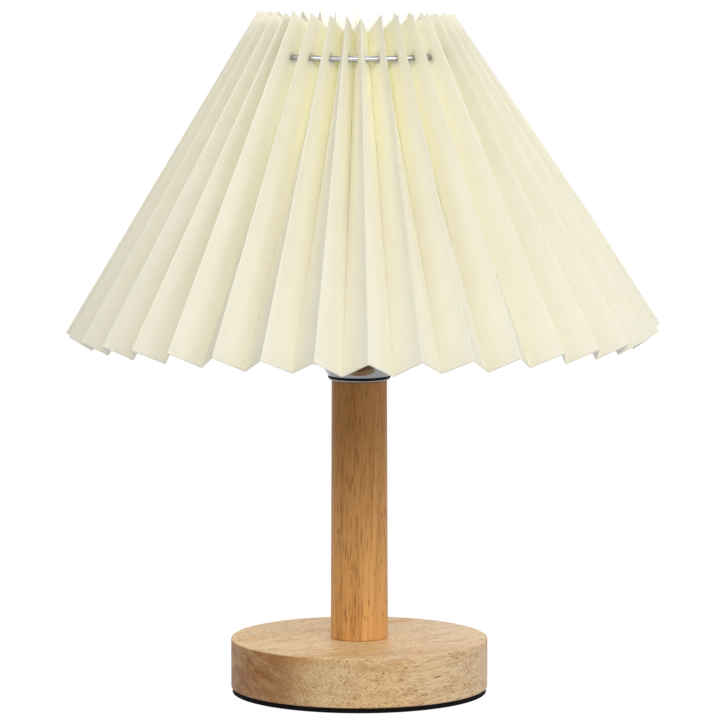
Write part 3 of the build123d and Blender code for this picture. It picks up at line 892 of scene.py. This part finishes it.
@dataclass
class Studio:
    """White floor, soft lights and the photograph's viewpoint."""

    camera_distance: float = 2.9861
    camera_height: float = 0.5351
    camera_side: float = 0.00035
    camera_pitch: float = math.radians(6.988)
    focal_pixels: float = 5965.9
    frame_pixels: float = 720.0
    sensor: float = 36.0
    floor_reach: float = 60.0
    floor_drop: float = 0.0002
    floor_grey: float = 0.5
    floor_glow: float = 1.12
    floor_glow_share: float = 0.88
    sky_light: float = 0.29
    softbox_distance: float = 2.4
    softbox_aim: float = 0.18
    softboxes: Sequence[Softbox] = (
        Softbox("right_softbox", 44.0, 33.0, 14.6),
        Softbox("front_softbox", 0.0, 34.0, 17.0),
        Softbox("left_softbox", -46.0, 32.0, 10.2),
        Softbox("back_softbox", 178.0, 40.0, 12.5),
        Softbox("back_fill", 195.0, 16.0, 8.0, shiny=False),
        Softbox("edge_softbox", 72.0, 6.0, 7.5, size=0.9),
    )

    def build(self) -> None:
        """Makes the camera, the floor, the world and the lamps."""
        self.set_camera()
        self.lay_floor()
        self.light_world()
        for softbox in self.softboxes:
            self.hang(softbox)

    def set_camera(self) -> None:
        """Sets the camera where the photograph was taken from, by the base's and hem's ellipses."""
        data = bpy.data.cameras.new("view")
        data.sensor_width = self.sensor
        data.lens = self.focal_pixels / self.frame_pixels * self.sensor
        data.clip_end = 200.0
        camera = bpy.data.objects.new("view", data)
        camera.location = (self.camera_side, -self.camera_distance, self.camera_height)
        camera.rotation_euler = (math.pi / 2 - self.camera_pitch, 0.0, 0.0)
        bpy.context.scene.collection.objects.link(camera)
        bpy.context.scene.camera = camera

    def lay_floor(self) -> None:
        """Lays a white floor that keeps the lamp's shadow, shows in the plated metal and is clear from below."""
        mesh = bmesh.new()
        bmesh.ops.create_grid(mesh, x_segments=1, y_segments=1, size=self.floor_reach)
        bmesh.ops.translate(mesh, vec=(0, 0, -self.floor_drop), verts=mesh.verts[:])
        floor = new_piece("floor", mesh, None)
        recipe = Recipe("floor_white")
        matt = recipe.signal("ShaderNodeBsdfDiffuse", {}, {"Color": (*[self.floor_grey] * 3, 1.0)})
        glow = {"Color": (1.0, 1.0, 1.0, 1.0), "Strength": self.floor_glow}
        white = recipe.signal("ShaderNodeEmission", {}, glow)
        glowing = self.seen_rays(recipe) * self.floor_glow_share
        mixed = recipe.signal("ShaderNodeMixShader", {}, {0: glowing, 1: matt, 2: white})
        behind = recipe.signal("ShaderNodeNewGeometry", output="Backfacing")
        clear = recipe.signal("ShaderNodeBsdfTransparent")
        one_sided = recipe.signal("ShaderNodeMixShader", {}, {0: behind, 1: mixed, 2: clear})
        recipe.node("ShaderNodeOutputMaterial", {}, {"Surface": one_sided})
        floor.data.materials.append(recipe.owner)

    @staticmethod
    def seen_rays(recipe: Recipe) -> Signal:
        """1 for rays that come from the camera, a mirror or glass."""
        path = recipe.node("ShaderNodeLightPath")
        camera = Signal(recipe, path.outputs["Is Camera Ray"])
        glossy = Signal(recipe, path.outputs["Is Glossy Ray"])
        through = Signal(recipe, path.outputs["Is Transmission Ray"])
        return recipe.maths("MINIMUM", camera + glossy + through, 1.0)

    def light_world(self) -> None:
        """Lights the lamp evenly from all round, under a background that shows white."""
        world = bpy.data.worlds.new("studio")
        recipe = Recipe(world)
        strength = self.seen_rays(recipe) * (1.0 - self.sky_light) + self.sky_light
        sky = recipe.signal("ShaderNodeBackground", {}, {"Color": (1.0, 1.0, 1.0, 1.0), "Strength": strength})
        recipe.node("ShaderNodeOutputWorld", {}, {"Surface": sky})
        bpy.context.scene.world = world

    def hang(self, softbox: Softbox) -> None:
        """Hangs a softbox at its bearing and height, turned to the part."""
        data = bpy.data.lights.new(softbox.name, "AREA")
        data.shape = "SQUARE"
        data.size = softbox.size
        data.energy = softbox.power
        lamp = bpy.data.objects.new(softbox.name, data)
        lamp.visible_glossy = softbox.shiny
        bearing = math.radians(softbox.bearing)
        height = math.radians(softbox.height)
        level = math.cos(height) * self.softbox_distance
        aim = Vector((0, 0, self.softbox_aim))
        offset = (level * math.sin(bearing), -level * math.cos(bearing), self.softbox_distance * math.sin(height))
        lamp.location = aim + Vector(offset)
        lamp.rotation_euler = (aim - lamp.location).to_track_quat("-Z", "Y").to_euler()
        bpy.context.scene.collection.objects.link(lamp)


def dress_rigid_nodes() -> None:
    """Gives the CAD nodes that keep their shape a finish each."""
    base_wood = LacqueredWood(
        "base_rubberwood",
        grain=(0.80, 0.58, 0.13),
        pale=srgb(239, 209, 162),
        ripe=srgb(236, 198, 140),
        streak=srgb(198, 148, 96),
        pore=srgb(140, 80, 42),
        soaked=srgb(156, 102, 52),
        end_reach=0.038,
        end_top=0.0268,
        pore_size=(200, 1500, 1500),
        dash_size=(62, 560, 760),
        dashes=0.9,
        amber=srgb(224, 168, 92),
        amber_share=0.55,
        # painted light: the base painted paler towards its right side, +X, where the light falls
        lighting_tone=srgb(242, 218, 184),
        lighting_from=0.005,
        lighting_reach=0.05,
        lighting_share=0.7,
    )
    column_wood = LacqueredWood(
        "column_rubberwood",
        grain=(0.02, 0.01, 1.0),
        pale=srgb(234, 178, 108),
        ripe=srgb(224, 165, 96),
        streak=srgb(182, 122, 66),
        pore=srgb(110, 62, 30),
        soaked=srgb(150, 96, 52),
        end_reach=1.0,
        end_top=-1.0,
        band_size=(4, 110, 110),
        pore_size=(70, 1300, 1300),
        dash_size=(85, 620, 620),
        dashes=0.6,
        # painted shade: the column painted darker towards its top, in the shade's shadow
        lighting_tone=srgb(168, 112, 60),
        lighting_way=(0, 0, 1),
        lighting_from=0.060,
        lighting_reach=0.09,
        lighting_share=0.62,
    )
    chrome = PlatedMetal("mirror_chrome", (0.27, 0.27, 0.285), Plating.MIRROR)
    wire = PlatedMetal("bright_wire", (0.46, 0.46, 0.48), Plating.WIRE)
    zinc = PlatedMetal("zinc_plate", (0.62, 0.62, 0.60), Plating.ZINC)
    brass = PlatedMetal("stamped_brass", (0.80, 0.58, 0.28), Plating.STAMPED)
    nickel = PlatedMetal("nickel_cap", (0.72, 0.71, 0.69), Plating.STAMPED)
    board = PlatedMetal("board_aluminium", (0.8, 0.8, 0.8), Plating.ZINC)
    foam = Moulded("black_foam", (0.006, 0.005, 0.006), 0.9, skin_size=0.0009, skin_depth=0.0002, shine=0.1)
    rubber = Moulded("black_gasket", (0.006, 0.006, 0.006), 0.7, shine=0.15)
    phenolic = Moulded("black_phenolic", (0.014, 0.013, 0.013), 0.32, skin_size=0.0012, skin_depth=0.00001, coat=0.1)
    steatite = Moulded("white_steatite", srgb(232, 228, 218), 0.55)
    vitrite = Moulded("black_vitrite", (0.008, 0.008, 0.010), 0.08, skin_size=0.004, skin_depth=0.00002)
    housing = Moulded("white_housing", srgb(238, 238, 235), 0.42, skin_size=0.0005, skin_depth=0.00001)
    frosted = Moulded(
        "frosted_globe", srgb(245, 245, 240), 0.38, skin_size=0.0004, skin_depth=0.00001, inner_glow=0.2
    )
    finishes = {
        "base_disc": base_wood,
        "column": column_wood,
        "seat_disc": chrome,
        "flared_cup": chrome,
        "base_pad": foam,
        "cord_grommet": phenolic,
        "seat_gasket": rubber,
        "threaded_rod": zinc,
        "base_washer": zinc,
        "lock_washer": zinc,
        "base_nut": zinc,
        "terminal_screws": zinc,
        "terminal_blocks": brass,
        "centre_contact": brass,
        "screw_shell": brass,
        "holder_cap": phenolic,
        "holder_shell": phenolic,
        "shade_ring_nut": phenolic,
        "holder_insert": steatite,
        "bulb_tip": nickel,
        "bulb_cap": nickel,
        "bulb_glass": vitrite,
        "bulb_housing": housing,
        "bulb_globe": frosted,
        "led_board": board,
        "fitter_ring": wire,
        "top_ring": wire,
        "lower_ring": wire,
        "frame_arms": wire,
        "frame_ribs": wire,
    }
    made: dict[str, bpy.types.Material] = {}
    for node, finish in finishes.items():
        if finish.name not in made:
            made[finish.name] = finish.material()
        dress(node, made[finish.name])


def main() -> None:
    """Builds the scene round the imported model, in order."""
    logging.basicConfig(level=logging.INFO, format="%(name)s: %(message)s")
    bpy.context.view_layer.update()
    bpy.context.scene.view_settings.view_transform = "Standard"
    Studio().build()
    dress_rigid_nodes()
    shade = PleatedShade()
    cloth = PleatFabric(
        "ivory_pleat_cloth",
        cloth=srgb(247, 243, 225),
        cloud=srgb(243, 238, 216),
        # painted glow in the crown's valleys
        crease_glow=srgb(253, 249, 221),
        # painted highlight along the ridges
        ridge_highlight=srgb(252, 248, 228),
        # painted shade in the valleys
        fold=srgb(235, 229, 205),
        # painted glow of the cloth
        shine_through=(0.062, 0.060, 0.040),
        face_width=shade.face_width,
    )
    # painted glow inside the shade, and along the strip's cut rim
    lining = PleatFilm("shade_film", film=srgb(246, 244, 236), shine_through=(0.24, 0.238, 0.215))
    cut_edge = PleatFilm("cut_edge", film=srgb(250, 247, 234), shine_through=(0.20, 0.19, 0.16), reach=20.0)
    shade.dress(cloth.material(), lining.material(), cut_edge.material())
    weld = PlatedMetal("weld_steel", (0.36, 0.36, 0.37), Plating.ZINC, mark_depth=0.00002)
    finish_piece(FrameWelds().build(), "shade", weld.material())


if __name__ == "__main__":
    main()
